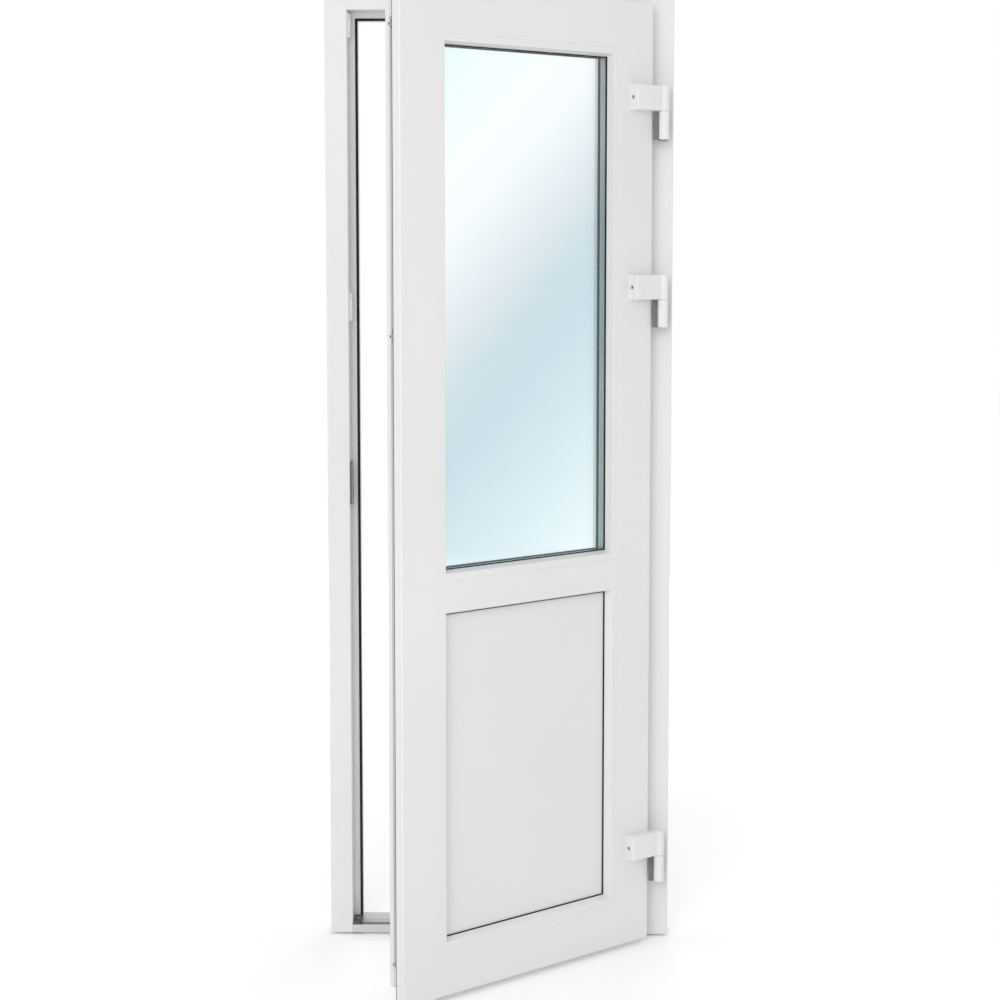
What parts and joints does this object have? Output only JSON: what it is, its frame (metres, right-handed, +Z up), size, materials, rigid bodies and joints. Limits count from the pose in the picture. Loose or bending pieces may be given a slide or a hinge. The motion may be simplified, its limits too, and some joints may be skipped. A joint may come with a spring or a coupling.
{
  "type": "balcony door",
  "caption": "White plastic balcony door: a glazed leaf with a solid lower panel, standing ajar on side hinges in a slim frame with a low threshold.",
  "frame": {"origin": "middle of the threshold's underside, half way through the frame's depth", "axes": "+Z up, +X towards the hinge side, -Y towards the room that the leaf opens into"},
  "size_m": [0.75, 0.5581, 2.08],
  "materials": {
    "white_pvc": "smooth white plastic",
    "panel_skin": "smooth white sheet",
    "clear_glass": "clear float glass",
    "black_seal": "matt black rubber",
    "spacer_aluminium": "satin",
    "sill_aluminium": "satin anodised",
    "dark_strip": "matt",
    "grey_cap": "matt moulded plastic",
    "white_keep": "white coat",
    "zinc_striker": "dull zinc",
    "bright_steel": "zinc plated",
    "hinge_bracket": "dark coat",
    "hinge_white": "white powder coat"
  },
  "bodies": {
    "frame": {"lock_jamb": "white_pvc", "hinge_jamb": "white_pvc", "frame_head": "white_pvc", "threshold": "sill_aluminium", "threshold_strip": "dark_strip", "threshold_cap_lock": "grey_cap", "threshold_cap_hinge": "grey_cap", "frame_seal": "black_seal", "corner_keep": "white_keep", "upper_keep": "white_keep", "latch_striker": "zinc_striker", "upper_hinge_frame_part": "hinge_white", "upper_hinge_bracket": "hinge_bracket", "middle_hinge_frame_part": "hinge_white", "middle_hinge_bracket": "hinge_bracket", "lower_hinge_frame_part": "hinge_white", "lower_hinge_bracket": "hinge_bracket", "upper_hinge_pin": "bright_steel", "middle_hinge_pin": "bright_steel", "lower_hinge_pin": "bright_steel"},
    "leaf": {"leaf_lock_stile": "white_pvc", "leaf_hinge_stile": "white_pvc", "leaf_top_rail": "white_pvc", "leaf_bottom_rail": "white_pvc", "leaf_mid_rail": "white_pvc", "glass_bead_top": "white_pvc", "glass_bead_bottom": "white_pvc", "glass_bead_lock": "white_pvc", "glass_bead_hinge": "white_pvc", "panel_bead_top": "white_pvc", "panel_bead_bottom": "white_pvc", "panel_bead_lock": "white_pvc", "panel_bead_hinge": "white_pvc", "leaf_seal": "black_seal", "glass_seal_inner": "black_seal", "glass_seal_outer": "black_seal", "panel_seal_inner": "black_seal", "panel_seal_outer": "black_seal", "inner_glass_pane": "clear_glass", "outer_glass_pane": "clear_glass", "upper_hinge_leaf_part": "hinge_white", "middle_hinge_leaf_part": "hinge_white", "lower_hinge_leaf_part": "hinge_white", "lock_faceplate": "bright_steel", "locking_cams": "bright_steel", "glass_spacer": "spacer_aluminium", "lower_panel": "panel_skin"}
  },
  "joints": [
    {"name": "leaf_swing", "type": "hinge", "parent": "frame", "child": "leaf", "pos_m": [0.352, -0.0865, 1], "axis": [0, 0, 1], "range_deg": [-41, 59]}
  ]
}
